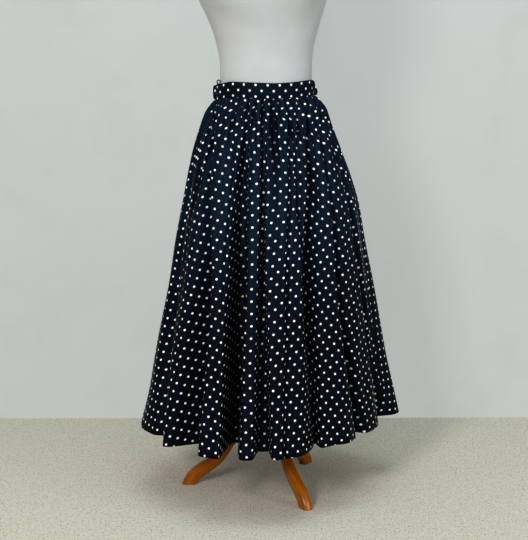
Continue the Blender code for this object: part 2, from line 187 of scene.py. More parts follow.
def makeDottedCloth(name, repeat, shift, folds=False):
    look = dottedCloth
    bench = Bench(name, {"Roughness": 0.62, "Specular IOR Level": 0.18, "Specular Tint": look["sheen"]})
    cut = bench.place("uv", "cut")
    u, v, _ = bench.parts(cut)
    # printed dots: a square lattice and the same lattice half a repeat over
    nearest = None
    for half in (0.0, 0.5):
        across = (u - shift[0]) / repeat[0] + half
        down = (v - shift[1]) / repeat[1] + half
        dx = (across.fract() - 0.5) * repeat[0]
        dy = (down.fract() - 0.5) * repeat[1]
        away = (dx * dx + dy * dy) ** 0.5
        nearest = away if nearest is None else nearest.least(away)
    nearest = nearest + (bench.noise(cut, 900, 2.0) - 0.5) * look["dotRagged"]
    dots = bench.between(nearest, look["dotRadius"] + look["dotEdge"],
                         look["dotRadius"] - look["dotEdge"])
    # plain weave and slubs
    threads = 2 * math.pi / look["threadPitch"]
    weave = (u * threads).sine() * (v * threads).sine()
    slub = bench.noise(cut, (60, 700, 1))
    cloudy = bench.noise(cut, 9, 4.0)
    navy = bench.blend(bench.between(cloudy * 0.7 + slub * 0.3, 0.35, 0.65),
                       look["navyDeep"], look["navy"])
    if folds:
        # painted light: a bluer painted sheen at the top of the skirt, where light falls from above, and
        # painted shade, nearly black, towards the hem
        upper = bench.blend(look["paintedSheenShare"], navy, look["navyPaintedTopSheen"])
        lower = bench.blend(look["paintedShadeShare"], navy, look["navyPaintedHemShade"])
        navy = bench.blend(bench.between((u * u + v * v) ** 0.5, *look["sheenToShadeFade"]), upper, lower)
    dotTone = bench.blend(bench.between(slub, 0.3, 0.7), look["dotWorn"], look["dot"])
    tone = bench.blend(dots, navy, dotTone)
    if folds:
        # little light reaches the floors of the folds
        fold, trough, _ = bench.parts(bench.place("uv", "folds"))
        tone = bench.blend(fold * look["foldShade"], tone, look["shadow"])
        tone = bench.blend(trough * look["troughShade"], tone, look["shadow"])
    bench.feed(Base_Color=tone, Roughness=bench.between(slub, 0.2, 0.8, (0.56, 0.70)),
               Normal=bench.bump(weave * 0.5 + slub * 0.8, look["threadDepth"], 0.35))
    return bench.material


def makeJersey():
    bench = Bench("whiteJersey", {"Roughness": 0.85, "Sheen Weight": 0.12})
    spot = bench.place("object")
    x, y, z = bench.parts(spot)
    rib = (x * 3000).sine() * (z * 2400).sine()
    soft = bench.noise(spot, 7)
    bench.feed(Base_Color=bench.blend(bench.between(soft, 0.3, 0.7), rgba(0.405, 0.415, 0.42),
                                      rgba(0.46, 0.465, 0.465)),
               Roughness=bench.between(soft, 0.2, 0.8, (0.78, 0.9)),
               Normal=bench.bump(rib * 0.4 + soft, 0.0001, 0.3))
    return bench.material


wood = {
    # noise scales along the grain and across it
    "rings": (9, 95),
    "pores": (40, 900),
    "stops": [(0.28, (0.150, 0.042, 0.001)), (0.48, (0.310, 0.100, 0.003)), (0.70, (0.460, 0.175, 0.006))],
    "pore": rgba(0.060, 0.014, 0.003),
}


def makeWood(name, source, along):
    bench = Bench(name, {"Roughness": 0.42, "Coat Roughness": 0.12, "Coat Weight": 0.3,
                         "Specular IOR Level": 0.3})
    spot = bench.place(source, "grain")

    def grain(scales, detail, rough=0.55):
        return bench.noise(spot, tuple(scales[k != along] for k in range(3)), detail, rough)

    rings, pores = grain(wood["rings"], 5.0, 0.6), grain(wood["pores"], 2.0)
    patch = bench.noise(spot, 14, 2.0)
    base = bench.node("ShaderNodeValToRGB", {"stops": wood["stops"]}, {"Fac": rings * 0.7 + patch * 0.3})
    dark = bench.between(pores, 0.62, 0.72)
    bench.feed(Base_Color=bench.blend(dark * 0.6, base, wood["pore"]),
               Roughness=bench.between(rings, 0.3, 0.7, (0.30, 0.42)),
               Coat_Weight=bench.between(patch, 0.2, 0.8, (0.28, 0.14)),
               Normal=bench.bump(pores * -0.4 + rings * 0.3, 0.0003, 0.35))
    return bench.material


def makeSteel():
    bench = Bench("brushedSteel", {"Metallic": 1.0, "Roughness": 0.34})
    spot = bench.place("object")
    brush = bench.noise(spot, (900, 900, 12), 4.0)
    smear = bench.noise(spot, 20)
    bench.feed(Base_Color=bench.blend(brush, rgba(0.40, 0.40, 0.41), rgba(0.56, 0.56, 0.57)),
               Roughness=bench.between(smear * 0.6 + brush * 0.4, 0.3, 0.7, (0.26, 0.46)),
               Normal=bench.bump(brush, 0.00006, 0.4))
    return bench.material


def makeRibbon():
    bench = Bench("blackRibbon", {"Roughness": 0.45, "Sheen Weight": 0.2})
    spot = bench.place("object")
    ribs = bench.noise(spot, (1500, 1500, 3500), 2.0)
    bench.feed(Base_Color=bench.blend(ribs, rgba(0.006, 0.007, 0.010), rgba(0.018, 0.020, 0.026)),
               Roughness=bench.between(ribs, 0.3, 0.7, (0.38, 0.55)),
               Normal=bench.bump(ribs, 0.0001, 0.5))
    return bench.material


def makeButton():
    bench = Bench("navyButton", {"Roughness": 0.3, "Coat Weight": 0.3})
    spot = bench.place("object")
    cloud = bench.noise(spot, 160, 4.0)
    bench.feed(Base_Color=bench.blend(cloud, rgba(0.005, 0.008, 0.017), rgba(0.014, 0.020, 0.036)),
               Roughness=bench.between(cloud, 0.3, 0.7, (0.22, 0.38)))
    return bench.material


clothMaterial = makeDottedCloth("navyDottedCotton", repeat=(0.0296, 0.0296), shift=(0.0, 0.0), folds=True)
bandMaterial = makeDottedCloth("navyDottedCottonBand", repeat=(0.0290, 0.0280), shift=(0.0039, -0.0054))
jersey = makeJersey()
legWood = makeWood("honeyWoodLegs", "uv", 1)
turnedWood = makeWood("honeyWoodTurned", "object", 2)
steel = makeSteel()
ribbon = makeRibbon()
buttonPlastic = makeButton()
print("materials made")


# mesh helpers

def smoothCurve(xs, ys, x):
    # monotone cubic through a table's points
    xs, ys, x = np.asarray(xs, float), np.asarray(ys, float), np.asarray(x, float)
    step = np.diff(xs)
    rate = np.diff(ys) / step
    slope = np.zeros_like(ys)
    slope[0], slope[-1] = rate[0], rate[-1]
    same = rate[:-1] * rate[1:] > 0
    slope[1:-1][same] = 2 * rate[:-1][same] * rate[1:][same] / (rate[:-1][same] + rate[1:][same])
    i = np.clip(np.searchsorted(xs, x) - 1, 0, len(step) - 1)
    t = (x - xs[i]) / step[i]
    return (ys[i] * (1 + 2 * t) * (1 - t) ** 2 + ys[i + 1] * t * t * (3 - 2 * t)
            + step[i] * (slope[i] * t * (1 - t) ** 2 - slope[i + 1] * t * t * (1 - t)))


def column(table, index, x):
    return smoothCurve([row[0] for row in table], [row[index] for row in table], x)


def around(table, azimuth):
    # a table by azimuth, joined up all round
    az = [row[0] for row in table]
    turns = [a - 360 for a in az] + az + [a + 360 for a in az]
    wrapped = (np.asarray(azimuth, float) + 180) % 360 - 180
    return smoothCurve(turns, [row[1] for row in table] * 3, wrapped)


def softened(values):
    # each value moved towards its two neighbours, round a closed line
    return (np.roll(values, 1) + 2 * values + np.roll(values, -1)) / 4


def lengthsAlong(x, y):
    return np.concatenate([[0], np.cumsum(np.hypot(np.diff(x), np.diff(y)))])


def gridSkin(name, points, cut=None, uvName="cut", weld=False, caps=False, folds=None):
    # a grid of rows x columns laid on the given places; weld joins the last column to the first
    rows, columns = points.shape[0] - 1, points.shape[1] - 1
    bm = bmesh.new()
    bmesh.ops.create_grid(bm, x_segments=columns, y_segments=rows, size=0.5)
    place = {}
    for v in bm.verts:
        place[v] = (round((0.5 - v.co.y) * rows), round((v.co.x + 0.5) * columns))
    for v, (i, j) in place.items():
        v.co = points[i, j]
    for layerName, values in ((uvName, cut), ("folds", folds)):
        if values is not None:
            layer = bm.loops.layers.uv.new(layerName)
            for face in bm.faces:
                for loop in face.loops:
                    loop[layer].uv = values[place[loop.vert]]
    if weld:
        bmesh.ops.remove_doubles(bm, verts=bm.verts[:], dist=1e-6)
    if caps:
        bmesh.ops.holes_fill(bm, edges=[e for e in bm.edges if e.is_boundary], sides=0)
    bmesh.ops.recalc_face_normals(bm, faces=bm.faces[:])
    return meshFrom(bm, name)


def meshFrom(bm, name):
    mesh = bpy.data.meshes.new(name)
    bm.to_mesh(mesh)
    bm.free()
    for polygon in mesh.polygons:
        polygon.use_smooth = True
    obj = bpy.data.objects.new(name, mesh)
    bpy.context.scene.collection.objects.link(obj)
    return obj


def turned(name, profile, centre, steps=64, closeEnds=True):
    # radius, height rows spun round an upright axis
    bm = bmesh.new()
    verts = [bm.verts.new((centre[0] + r, centre[1], z)) for r, z in profile]
    for a, b in zip(verts, verts[1:]):
        bm.edges.new((a, b))
    bmesh.ops.spin(bm, geom=bm.verts[:] + bm.edges[:], cent=(centre[0], centre[1], 0), axis=(0, 0, 1),
                   angle=2 * math.pi, steps=steps, use_merge=True)
    bmesh.ops.remove_doubles(bm, verts=bm.verts[:], dist=1e-6)
    if closeEnds:
        bmesh.ops.holes_fill(bm, edges=[e for e in bm.edges if e.is_boundary], sides=0)
    bmesh.ops.recalc_face_normals(bm, faces=bm.faces[:])
    return meshFrom(bm, name)


def finishPiece(obj, material, slot, *nodes):
    obj.data.materials.append(material)
    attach(obj, "root")
    if nodes:
        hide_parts(*nodes)
    return obj


def modifier(obj, kind, name, **settings):
    made = obj.modifiers.new(name, kind)
    for key, value in settings.items():
        setattr(made, key, value)
    return made


# dress form

form = {
    "columns": 96,
    "rows": 150,
    "bustHeight": 1.272,
    "bustAzimuth": 33.0,
    "bustRise": 0.030,
    "bustTall": 0.052,
    "bustWide": 21.0,
    "bottomZ": 0.700,
    "height": 0.845,
    "rimSteps": (0.0015, 0.0035, 0.006),
    "smoothing": 3,
    "softBetween": (0.72, 1.54),   # the rims at both ends stay sharp
    "clothFrom": 0.702,            # cloth lower than this hangs free of it
}

formRows = [
    # z      half    front   back    square shift
    (0.700, 0.1340, 0.0900, 0.1020, 2.3, 0.000),
    (0.703, 0.1420, 0.0960, 0.1090, 2.3, 0.000),
    (0.712, 0.1480, 0.1000, 0.1140, 2.3, 0.000),
    (0.760, 0.1540, 0.1040, 0.1210, 2.3, 0.000),
    (0.820, 0.1560, 0.1060, 0.1240, 2.2, 0.000),
    (0.870, 0.1510, 0.1050, 0.1200, 2.2, 0.000),
    (0.930, 0.1380, 0.0990, 0.1080, 2.2, 0.000),
    (0.980, 0.1240, 0.0920, 0.0950, 2.1, 0.000),
    (1.012, 0.1153, 0.0861, 0.0876, 2.0, 0.000),
    (1.050, 0.1142, 0.0852, 0.0862, 2.0, 0.000),
    (1.090, 0.1140, 0.0850, 0.0860, 2.1, 0.000),
    (1.130, 0.1190, 0.0870, 0.0880, 2.1, -0.001),
    (1.170, 0.1290, 0.0930, 0.0920, 2.2, -0.002),
    (1.210, 0.1430, 0.1020, 0.0980, 2.2, -0.004),
    (1.250, 0.1580, 0.1090, 0.1030, 2.2, -0.008),
    (1.290, 0.1680, 0.1120, 0.1060, 2.3, -0.009),
    (1.340, 0.1730, 0.1060, 0.1080, 2.4, -0.009),
    (1.390, 0.1770, 0.0920, 0.1060, 2.4, -0.009),
    (1.425, 0.1760, 0.0790, 0.0990, 2.3, -0.009),
    (1.450, 0.1600, 0.0690, 0.0900, 2.2, -0.009),
    (1.468, 0.1260, 0.0610, 0.0800, 2.1, -0.009),
    (1.482, 0.0850, 0.0560, 0.0680, 2.0, -0.009),
    (1.500, 0.0600, 0.0530, 0.0580, 2.0, -0.009),
    (1.545, 0.0540, 0.0500, 0.0540, 2.0, -0.009),
]


def formSection(z, count):
    # plan points of the dress form at one height, about the stand's axis
    half, front, back, power, shift = (float(column(formRows, i, z)) for i in range(1, 6))
    az = 2 * math.pi * np.arange(count + 1) / count
    sx, cx = np.sin(az), np.cos(az)
    x = half * np.sign(sx) * np.abs(sx) ** (2 / power)
    y = -np.where(cx > 0, front, back) * np.sign(cx) * np.abs(cx) ** (2 / power)
    swell = 0.0
    up = (z - form["bustHeight"]) / (form["bustTall"] * (1.0 if z < form["bustHeight"] else 1.7))
    for side in (-1, 1):
        off = (np.degrees(np.arctan2(sx, cx)) - side * form["bustAzimuth"]) / form["bustWide"]
        swell = swell + form["bustRise"] * np.exp(-off * off - up * up)
    return x + swell * 0.25 * np.tanh(x / 0.02) + shift, y - swell * 0.9


# skirt panels

skirt = {
    "seamZ": 1.0117,
    "hemZ": 0.174,
    "leftSeam": -85.0,             # azimuth from the front, positive to the photo's right
    "cutWaistRadius": 0.38,        # the flat cut is part of a ring
    "cutSweep": math.radians(73.0),
    "grainTurn": math.radians(-6.0),
    "columns": 340,
    "rows": 124,
    "gathers": 20,                 # on each panel
    "wall": 0.0006,
    "turnUp": 0.022,
    "clearance": 0.0014,           # from the form's skin to the cloth, past its wall
    "seamHalfGap": 0.00015,
    "creaseUnit": 0.00125,         # metres in each unit of a crease's half width
    "grainBlur": (0.009, 0.050),   # as shares of the height: at the top, and added by the hem
    "samples": 2401,               # along one height, before the mesh's columns are laid
    "tightValley": 0.012,
    "mergedValley": 0.03,
    "fineValley": 0.04,
    "tuckDepth": (0.0020, 0.0002),
}

band = {
    "topZ": 1.0500,
    "bottomZ": 1.0120,
    "wall": 0.0024,
    "lapStart": 168.0,
    "gap": 0.0003,
    "steps": 300,
    "inside": (0.1225, 0.1160, 0.0866, 0.0882),    # left, right, front, back
    "cutHeight": 0.038,
    "faceTurn": 0.004,             # how far the print moves round the strip's edge
    "lapRise": 20.0,               # degrees over which the lap climbs onto the other end
    "pucker": (0.00035, 0.00025),  # by the gathers, at its lower edge
}

# across the strip's wall and up its height, with rounded edges
bandSection = ([(1.0, 0.04 + 0.92 * k / 3) for k in range(4)] + [(0.86, 0.985), (0.5, 1.0), (0.14, 0.985)]
               + [(0.0, 0.96 - 0.92 * k / 3) for k in range(4)] + [(0.14, 0.015), (0.5, 0.0), (0.86, 0.015)])
bandSection.append(bandSection[0])


def bandPoint(azimuth, outward, share):
    left, right, front, back = band["inside"]
    s = math.radians(azimuth)
    a = (left + right) / 2 + (right - left) / 2 * math.sin(s)
    b = (front + back) / 2 + (front - back) / 2 * math.cos(s)
    nx, ny = math.sin(s) / a, -math.cos(s) / b
    size = math.hypot(nx, ny)
    z = band["bottomZ"] + (band["topZ"] - band["bottomZ"]) * share + float(around(bandLift, azimuth))
    return np.array([axisX + a * math.sin(s) + nx / size * outward,
                     -b * math.cos(s) + ny / size * outward, z])


skirtRows = [
    # down  left    right   front   back
    (0.000, 0.1262, 0.1200, 0.0900, 0.0920),
    (0.016, 0.1375, 0.1330, 0.0990, 0.1005),
    (0.040, 0.1515, 0.1500, 0.1130, 0.1150),
    (0.090, 0.1665, 0.1665, 0.1330, 0.1350),
    (0.160, 0.1840, 0.1900, 0.1540, 0.1560),
    (0.240, 0.1990, 0.2150, 0.1740, 0.1770),
    (0.330, 0.2130, 0.2370, 0.1950, 0.1990),
    (0.430, 0.2290, 0.2530, 0.2160, 0.2200),
    (0.550, 0.2460, 0.2720, 0.2370, 0.2420),
    (0.670, 0.2665, 0.2880, 0.2580, 0.2640),
    (0.790, 0.2860, 0.3060, 0.2800, 0.2850),
    (0.900, 0.3035, 0.3250, 0.3010, 0.3050),
    (1.000, 0.3250, 0.3410, 0.3200, 0.3240),
]

crestRows = [
    # azimuth, crest's distance outside the envelope at the hem
    (-180, 0.002), (-150, -0.006), (-128, 0.004), (-108, -0.004), (-80, 0.000), (-64, -0.016),
    (-51, 0.009), (-26, 0.013), (-8, 0.006), (3, 0.001), (15, -0.018), (21, -0.029),
    (28, -0.056), (36, -0.060), (44, -0.052), (56, -0.066), (66, -0.062), (76, -0.052),
    (90, -0.050), (104, 0.018), (128, -0.008), (150, 0.006), (168, -0.006),
]

creaseDowns = (0.00, 0.07, 0.22, 0.50, 1.00)
creases = {
    # at those five heights: azimuths, half widths in crease units, depths in mm;
    # then lean at the hem and flat share
    "leftFlank": ((-80, -78, -76, -73, -58), (6, 9, 15, 30, 40), (3, 6, 10, 24, 58), 1, 0.0),
    "leftShoulder": ((-70, -61, -55, -51, -50), (4, 5, 8, 10, 10), (3, 9, 6, 0, 0), 0, 0.0),
    "leftFront": ((-68, -53, -46.5, -40, -38.5), (5, 7, 13, 27, 48), (5, 14, 26, 50, 82), 0, 0.0),
    "leftSoft": ((-38, -31, -28, -26, -26), (4, 5, 8, 10, 10), (4, 8, 5, 0, 0), 0, 0.0),
    "leftThin": ((-28, -22.5, -18.5, -18, -18), (3.5, 4, 6, 8, 8), (4, 9, 7, 0, 0), 0, 0.0),
    "deepFront": ((-21, -16.5, -17.5, -17.3, -15.2), (4, 5, 12, 19, 20), (6, 15, 32, 80, 130), -6, 0.45),
    "bandNick": ((-14, -10, -8, -8, -8), (3.5, 4, 5, 6, 6), (5, 7, 0, 0, 0), 0, 0.0),
    "centre": ((-3, -2, -2, -2.2, -1.8), (4, 4.5, 5, 8, 19), (6, 14, 20, 38, 66), 0, 0.6),
    "centreNick": ((2.5, 1.2, 1, 1, 1), (3.5, 4, 5, 6, 6), (5, 7, 0, 0, 0), 0, 0.0),
    "rightThin": ((7, 7, 7.5, 8, 8), (3.5, 4, 6, 8, 8), (3, 9, 4, 0, 0), 0, 0.0),
    "slantNick": ((13, 16.5, 19, 20, 20), (3.5, 4, 5, 6, 6), (5, 7, 0, 0, 0), 0, 0.0),
    "narrow": ((27, 22, 17, 11.5, 7.8), (4, 4.5, 5, 4.5, 4), (5, 11, 10, 12, 16), 0, 0.0),
    "rightSoft": ((36, 30, 23.5, 20, 20), (4, 5, 9, 10, 10), (5, 11, 12, 0, 0), 0, 0.0),
    "rightFront": ((51, 42, 34, 27, 22.5), (5, 7, 13, 22, 31), (6, 18, 32, 48, 60), 7, 0.0),
    "sideSoft": ((49, 47, 41, 39, 39), (4, 5, 8, 10, 10), (3, 6, 7, 0, 0), 0, 0.0),
    "sideNick": ((62, 54, 51, 50, 50), (4, 4.5, 6, 6, 6), (5, 9, 0, 0, 0), 0, 0.0),
    "rightFlank": ((70, 59, 50, 50, 60), (5, 7, 12, 18, 24), (4, 8, 12, 26, 48), 3, 0.0),
    "farFlank": ((80, 76, 71, 75, 91), (5, 8, 12, 20, 38), (4, 8, 12, 24, 44), 3, 0.0),
    "backRightA": ((108, 109, 112, 116, 119), (5, 8, 13, 24, 36), (5, 10, 20, 38, 66), -1, 0.0),
    "backRightB": ((127, 130, 133, 136, 138), (4, 6, 10, 18, 29), (4, 12, 16, 26, 44), 1.5, 0.0),
    "backRightC": ((147, 151, 154, 156, 157), (5, 7, 12, 24, 38), (6, 14, 26, 48, 80), 2, 0.2),
    "backNick": ((160, 163, 165, 166, 166), (4, 5, 7, 8, 8), (4, 9, 4, 0, 0), 0, 0.0),
    "backCentre": ((174, 176, 177, 178, 178), (4, 6, 10, 18, 29), (4, 12, 18, 32, 54), -1.5, 0.0),
    "backLeftA": ((203, 201, 200, 199, 198), (5, 7, 12, 22, 34), (5, 12, 24, 40, 67), 1, 0.0),
    "backLeftNick": ((212, 211, 210, 210, 210), (4, 5, 7, 8, 8), (4, 8, 5, 0, 0), 0, 0.0),
    "backLeftB": ((225, 222, 221, 220, 219), (4, 6, 10, 18, 29), (4, 10, 16, 28, 48), -1, 0.0),
    "backLeftC": ((248, 245, 242, 239, 238), (5, 7, 12, 23, 37), (5, 12, 24, 46, 76), -2, 0.15),
    "leftSeam": ((266, 265, 263, 261, 259), (4, 6, 10, 18, 29), (4, 8, 14, 24, 42), 0, 0.0),
}

bandLift = [
    # azimuth, how far the band's edges rise above level
    (-180, 0.0000), (-120, -0.0060), (-92, -0.0100), (-75, -0.0085), (-60, -0.0030),
    (-42, 0.0024), (-8, 0.0012), (10, 0.0000), (28, 0.0008), (62, 0.0040), (80, 0.0020),
    (100, 0.0000), (140, 0.0010),
]

gatherRows = [
    # down  gather  merged  fine    depths of the three sizes of gather
    (0.000, 0.0045, 0.0000, 0.0010),
    (0.010, 0.0074, 0.0000, 0.0013),
    (0.026, 0.0088, 0.0004, 0.0010),
    (0.050, 0.0080, 0.0012, 0.0006),
    (0.090, 0.0062, 0.0024, 0.0003),
    (0.150, 0.0040, 0.0036, 0.0001),
    (0.220, 0.0025, 0.0040, 0.0000),
    (0.320, 0.0014, 0.0036, 0.0000),
    (0.450, 0.0004, 0.0020, 0.0000),
    (0.650, 0.0000, 0.0010, 0.0000),
    (1.000, 0.0000, 0.0006, 0.0000),
]


def skirtSection(down):
    # closed plan curve of the cloth at one height, with each point's azimuth and depth in its crease
    azimuth = np.linspace(skirt["leftSeam"], skirt["leftSeam"] + 360, 3601)
    left, right, front, back = (float(column(skirtRows, i, down)) for i in range(1, 5))

    def envelope(degrees):
        angle = np.radians(degrees)
        return (((left + right) / 2 + (right - left) / 2 * np.sin(angle)) * np.sin(angle),
                -((front + back) / 2 + (front - back) / 2 * np.cos(angle)) * np.cos(angle))

    depth, bend = np.zeros_like(azimuth), np.zeros_like(azimuth)
    for k, (azimuths, halves, deeps, lean, flat) in enumerate(creases.values()):
        centre, half, deep = (float(smoothCurve(creaseDowns, row, down))
                              for row in (azimuths, halves, deeps))
        wander = down * (1 - down)                # no crease runs quite straight or even
        centre += 1.6 * math.sin(6 * down + 2.1 * k) * wander
        deep *= (1 + 0.25 * math.sin(7 * down + 1.7 * k) * wander) * min(0.35 + down * 40, 1)
        halfDegrees = math.degrees(half * skirt["creaseUnit"] / math.hypot(*envelope(centre)))
        away = np.abs((azimuth - centre + 180) % 360 - 180) / halfDegrees
        bump = (0.5 + 0.5 * np.cos(math.pi * np.clip((away - flat) / (1 - flat), 0, 1))) ** 0.9
        depth += deep / 1000 * bump
        bend += lean * down * bump
    x, y = envelope(azimuth + bend)
    grow = 1 + (around(crestRows, azimuth) * down ** 1.4 - depth) / np.hypot(x, y)
    x, y = x * grow, y * grow
    arc = lengthsAlong(x, y)
    even = np.linspace(0, arc[-1], skirt["samples"])[:-1]
    x, y, azimuth, depth = (np.interp(even, arc, values) for values in (x, y, azimuth, depth))
    for _ in range(round(8 + 14 * down + 42 * max(1 - down / 0.2, 0))):      # softest next to the band
        x, y = softened(x), softened(y)
    return (np.append(x, x[0]), np.append(y, y[0]), np.append(azimuth, azimuth[0] + 360),
            np.append(depth, depth[0]))


def pleat(phase, tight):
    # 0 in narrow valleys at whole numbers, 1 on round crests
    valley = tight ** 0.5
    return (np.sqrt(np.sin(math.pi * phase) ** 2 + tight) - valley) / ((1 + tight) ** 0.5 - valley)


def panelRow(down, side):
    # one height of a panel: plan points, their share of the way round it, the share of the gathered
    # length up to each, and how shaded each is
    x, y, azimuth, depth = skirtSection(down)
    arc = lengthsAlong(x, y)
    seam = np.interp(skirt["leftSeam"] + 180, azimuth, arc)
    start, end = (0.0, seam) if side == "front" else (seam, arc[-1])
    at = np.linspace(start + skirt["seamHalfGap"], end - skirt["seamHalfGap"], skirt["samples"])
    px, py, az = np.interp(at, arc, x), np.interp(at, arc, y), np.interp(at, arc, azimuth)
    tx, ty = np.gradient(px), np.gradient(py)
    long = np.hypot(tx, ty)
    share = (az - az[0]) / (az[-1] - az[0])
    turn = 2 * math.pi * share
    offset = 0.0 if side == "front" else 1.9
    seamHold = np.clip(np.minimum(share, 1 - share) / 0.015, 0, 1)
    # the gathers are uneven in spacing, in length and in depth
    phase = (skirt["gathers"] * share + 0.22 * np.sin(2 * turn) + 0.15 * np.sin(5 * turn)
             + (0.17 * np.sin(11 * turn) + 0.12 * np.sin(17 * turn)) * min(down * 8 + 0.4, 1)
             + 0.30 * down * np.sin(3 * turn))
    reach = np.clip(down * (1 + 0.40 * np.sin(4.5 * turn + 0.5 + offset)
                            + 0.28 * np.sin(11.5 * turn + offset)), 0, 1)
    strength = 0.80 + 0.24 * np.sin(6.5 * turn + 1.1 + offset) + 0.18 * np.sin(15.5 * turn + 0.4)
    crests = pleat(phase, skirt["tightValley"])
    merged = pleat(phase / 2, skirt["mergedValley"])
    fine = pleat(phase * 2.35 + 0.3 * np.sin(7 * turn), skirt["fineValley"])
    inward = 0.2 + 0.6 * min(down / 0.05, 1)      # they stand outside the band's edge, then swing in
    wave = column(gatherRows, 1, reach) * strength * (crests - inward)
    wave += column(gatherRows, 2, reach) * (0.9 + 0.3 * np.sin(3.5 * turn + offset)) * (merged - 0.6)
    wave += column(gatherRows, 3, down) * (fine - 0.7)
    # slow unevenness of hanging cloth
    ripple = (0.0011 * np.sin(9 * turn + 7.5 * down + offset) * math.sin(9 * down + 1)
              + 0.0008 * np.sin(16 * turn - 5 * down) * math.sin(14 * down + 2 + offset))
    wave = (wave + ripple * min(down * 5, 1)) * seamHold
    edge = (1 - down) * (skirt["seamZ"] - skirt["hemZ"])
    wave += 0.0005 * float(np.clip((skirt["turnUp"] - edge) / 0.002, 0, 1))
    px, py = px + ty / long * wave, py - tx / long * wave
    for _ in range(round(20 * max(1 - down / 0.3, 0))):      # takes the kinks out of tight valleys
        px[1:-1], py[1:-1] = softened(px)[1:-1], softened(py)[1:-1]
    length = lengthsAlong(px, py)
    # shade in the gathers' valleys, and on the floors of the large folds
    valley = (np.clip(1.25 - crests / 0.24, 0, 1)
              * np.clip(strength * 1.5 * (1 - reach / 0.42), 0, 1))
    trough = np.clip(np.interp(at, arc, depth) / 0.085, 0, 1) ** 2
    return px, py, share, length / length[-1], np.stack([valley, trough], -1)


def clearOfForm(x, y, z):
    # cloth that would reach into the form lies on it instead
    if z < form["clothFrom"]:
        return x, y
    fx, fy = (values[:-1] for values in formSection(z, 360))
    bearing = np.arctan2(fy, fx)
    order = np.argsort(bearing)
    body = np.interp(np.arctan2(y, x), bearing[order], np.hypot(fx, fy)[order], period=2 * math.pi)
    soft = skirt["clearance"]
    away = np.hypot(x, y) - body - soft
    away = np.where(away < soft, soft * np.exp(np.minimum(away - soft, 0) / soft), away)
    push = (body + soft + away) / np.hypot(x, y)
    return x * push, y * push


def panelAzimuth(side, share):
    return skirt["leftSeam"] + (0 if side == "front" else 180) + 180 * share


def tuckedEdge(side, even, rise):
    return np.array([bandPoint(a, band["wall"] * 0.55, 0) + np.array([0, 0, rise])
                     for a in panelAzimuth(side, even)])


def skirtPanel(name, side, node):
    t = np.linspace(0, 1, skirt["rows"] + 1)
    downs = 0.55 * t ** 1.9 + 0.45 * t            # rows are closer at the gathers
    made = [panelRow(float(d), side) for d in downs]
    # the cloth's grain runs smoothly down the panel: the share of cloth up to each place is evened out
    # over height
    places = np.linspace(0, 1, 1201)
    cloth = np.array([np.interp(places, row[2], row[3]) for row in made])
    blur = skirt["grainBlur"][0] + skirt["grainBlur"][1] * downs[:, None]
    weights = np.exp(-0.5 * ((downs[:, None] - downs[None]) / blur) ** 2)
    cloth = weights @ cloth / weights.sum(axis=1, keepdims=True)
    even = np.linspace(0, 1, skirt["columns"] + 1)
    points, folds = [], []
    for down, (px, py, share, _, shade), grain in zip(downs, made, cloth):
        here = np.interp(even, grain, places)
        lift = around(bandLift, panelAzimuth(side, here)) * (1 - down) ** 3
        z = skirt["seamZ"] - (skirt["seamZ"] - skirt["hemZ"]) * down + lift
        x, y = clearOfForm(np.interp(here, share, px), np.interp(here, share, py), float(z.mean()))
        points.append(np.stack([x + axisX, y, z], -1))
        folds.append(np.stack([np.interp(here, share, shade[:, k]) for k in (0, 1)], -1))
    # its top edge is tucked into the band
    points = np.array([tuckedEdge(side, even, depth) for depth in skirt["tuckDepth"]] + points)
    along = np.linalg.norm(np.diff(points, axis=0), axis=-1).mean(axis=1)
    radius = skirt["cutWaistRadius"] + np.concatenate([[0], np.cumsum(along)])
    across = np.linalg.norm(np.diff(points, axis=1), axis=-1)
    width = np.concatenate([np.zeros((len(points), 1)), np.cumsum(across, axis=1)], axis=1)
    angle = np.broadcast_to(even - 0.5, width.shape) * skirt["cutSweep"] + skirt["grainTurn"]
    cut = np.stack([radius[:, None] * np.sin(angle), -radius[:, None] * np.cos(angle)], -1)
    piece = gridSkin(name, points, cut, folds=np.array(folds[:1] * 2 + folds))
    modifier(piece, "SOLIDIFY", "clothWall", thickness=skirt["wall"], offset=-1)
    finishPiece(piece, clothMaterial, "navy_dotted_cotton", node)
    fullness = width[:, -1] / (radius * skirt["cutSweep"])
    print(name, "length %.3f" % (radius[-1] - radius[0]),
          "fullness", [round(float(f), 2) for f in fullness[::20]])
    return piece


skirtPanel("skirtFront", "front", "skirt_front")
skirtPanel("skirtBack", "back", "skirt_back")
print("skirt panels hung")


# waistband, its loops and its button

def waistband():
    start, end = band["lapStart"] - 360, 360 - band["lapStart"]
    points, cut = [], []
    reach, last = 0.0, None
    for i in range(band["steps"] + 1):
        az = start + (end - start) * i / band["steps"]
        rise = min(max((az - (band["lapStart"] - band["lapRise"] - 2)) / band["lapRise"], 0), 1)
        out = (band["wall"] + band["gap"]) * rise * rise * (3 - 2 * rise)
        here = bandPoint(az, 0, 0.5)
        if last is not None:
            reach += float(np.hypot(*(here - last)[:2]))
        last = here
        # gathers below pucker the lower edge a little
        pucker = band["pucker"][0] * math.sin(az * 0.9) + band["pucker"][1] * math.sin(az * 2.3 + 1)
        points.append([bandPoint(az, out + band["wall"] * w + pucker * (1 - s) * w, s)
                       for w, s in bandSection])
        cut.append([(reach, (s - 1) * band["cutHeight"] - band["faceTurn"] * (1 - w))
                    for w, s in bandSection])
    cut = np.array(cut)
    # measured from the middle of the front
    cut[:, :, 0] -= cut[int(band["steps"] * (0 - start) / (end - start)), 0, 0]
    piece = gridSkin("waistbandStrip", np.array(points), cut, weld=True, caps=True)
    finishPiece(piece, bandMaterial, "navy_dotted_cotton", "waistband")
    return piece


